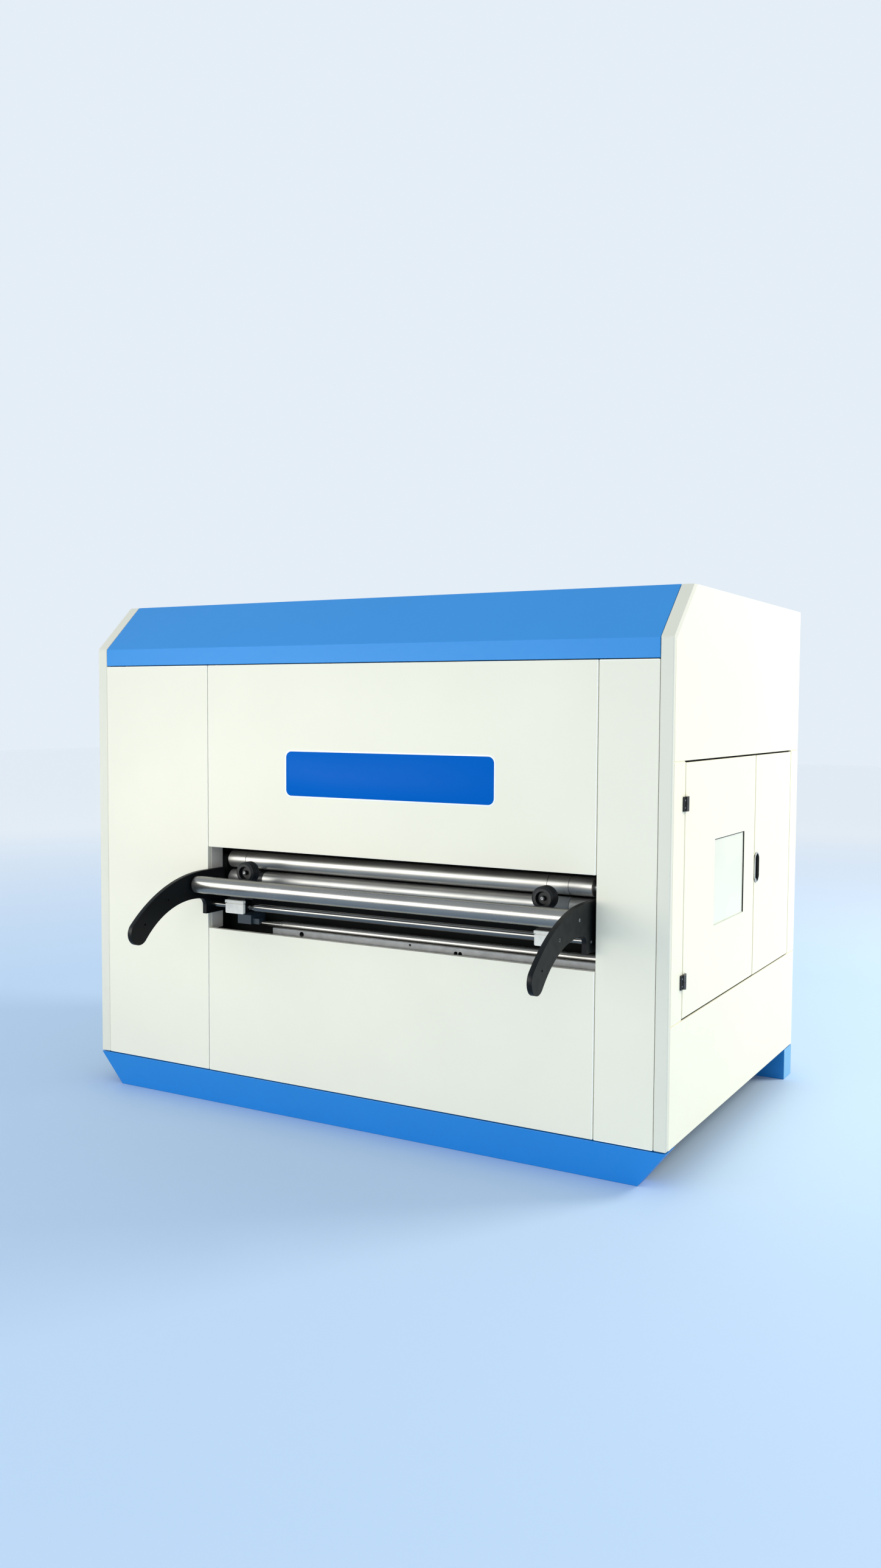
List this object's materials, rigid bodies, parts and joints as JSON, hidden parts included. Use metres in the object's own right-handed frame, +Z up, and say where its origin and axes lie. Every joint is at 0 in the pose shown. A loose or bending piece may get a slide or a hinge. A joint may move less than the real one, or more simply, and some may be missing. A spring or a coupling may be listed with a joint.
{
  "type": "sheet straightening machine",
  "caption": "Panelled sheet straightening machine on a blue base, with an entry slot holding pinch rollers and a guide roller on curved arms, and side doors on a service bay.",
  "frame": {"origin": "on the floor at the middle of the cabinet's footprint, on the underside of the middle base rail", "axes": "+X to the machine's right as seen from the entry side, +Y from the entry side to the exit side, +Z up"},
  "size_m": [2.262, 1.8714, 1.805],
  "materials": {
    "ivory_paint": "satin powder coat",
    "side_paint": "satin powder coat",
    "flange_paint": "satin powder coat",
    "blue_paint": "satin powder coat",
    "frame_paint": "matt",
    "jamb_paint": "satin",
    "arm_paint": "satin black",
    "roll_steel": "ground and polished",
    "bar_steel": "grey",
    "block_plastic": "matt",
    "black_plastic": "matt",
    "slate_paint": "matt",
    "window_glass": "frosted",
    "chrome": "polished"
  },
  "bodies": {
    "cabinet": {"front_plinth": "blue_paint", "rear_beam": "blue_paint", "base_rails": "frame_paint", "base_deck": "frame_paint", "frame_posts": "frame_paint", "right_upper_side": "side_paint", "right_lower_side": "side_paint", "right_front_strip": "side_paint", "right_rear_strip": "side_paint", "left_upper_side": "side_paint", "left_lower_side": "side_paint", "left_front_strip": "side_paint", "left_rear_strip": "side_paint", "left_front_cover": "side_paint", "left_rear_cover": "side_paint", "left_flange": "flange_paint", "right_flange": "flange_paint", "front_left_panel": "ivory_paint", "front_right_panel": "ivory_paint", "front_upper_panel": "ivory_paint", "front_lower_panel": "ivory_paint", "hood": "blue_paint", "roof": "ivory_paint", "rear_left_panel": "ivory_paint", "rear_right_panel": "ivory_paint", "rear_upper_panel": "ivory_paint", "rear_lower_panel": "ivory_paint", "jamb_plates": "jamb_paint", "left_roll_stand": "frame_paint", "right_roll_stand": "frame_paint", "upper_roll_housing": "frame_paint", "lower_roll_housing": "frame_paint", "upper_work_rolls": "roll_steel", "lower_work_rolls": "roll_steel", "bearing_caps": "bar_steel", "exit_rollers": "roll_steel", "left_arm": "arm_paint", "right_arm": "arm_paint", "guide_rod": "roll_steel", "guide_blocks": "block_plastic", "guide_carriers": "arm_paint", "guide_knobs": "black_plastic", "support_roll": "roll_steel", "roll_bearing_block": "slate_paint", "cross_bar": "bar_steel", "door_frame": "side_paint", "hinge_plates": "black_plastic", "pivot_pins": "bar_steel"},
    "front_door": {"front_door": "side_paint", "front_door_rims": "side_paint", "door_window": "window_glass", "hinge_leaves": "black_plastic"},
    "rear_door": {"rear_door": "side_paint", "door_handle": "chrome"},
    "front_guide_roller": {"front_guide_roller": "roll_steel"},
    "upper_pinch_roller": {"upper_pinch_roller": "roll_steel"},
    "lower_pinch_roller": {"lower_pinch_roller": "roll_steel"}
  },
  "joints": [
    {"name": "front_door_hinge", "type": "hinge", "parent": "cabinet", "child": "front_door", "pos_m": [1.131, -0.604, 0.8785], "axis": [0, 0, -1], "range_deg": [0, 110]},
    {"name": "rear_door_hinge", "type": "hinge", "parent": "cabinet", "child": "rear_door", "pos_m": [1.117, 0.611, 0.883], "axis": [0, 0, 1], "range_deg": [0, 110]},
    {"name": "front_guide_roller_spin", "type": "hinge", "parent": "cabinet", "child": "front_guide_roller", "pos_m": [0.145, -0.825, 0.807], "axis": [1, 0, 0], "continuous": true},
    {"name": "upper_pinch_roller_spin", "type": "hinge", "parent": "cabinet", "child": "upper_pinch_roller", "pos_m": [0.141, -0.625, 0.878], "axis": [1, 0, 0], "continuous": true},
    {"name": "lower_pinch_roller_spin", "type": "hinge", "parent": "cabinet", "child": "lower_pinch_roller", "pos_m": [0.141, -0.625, 0.811], "axis": [1, 0, 0], "continuous": true}
  ]
}
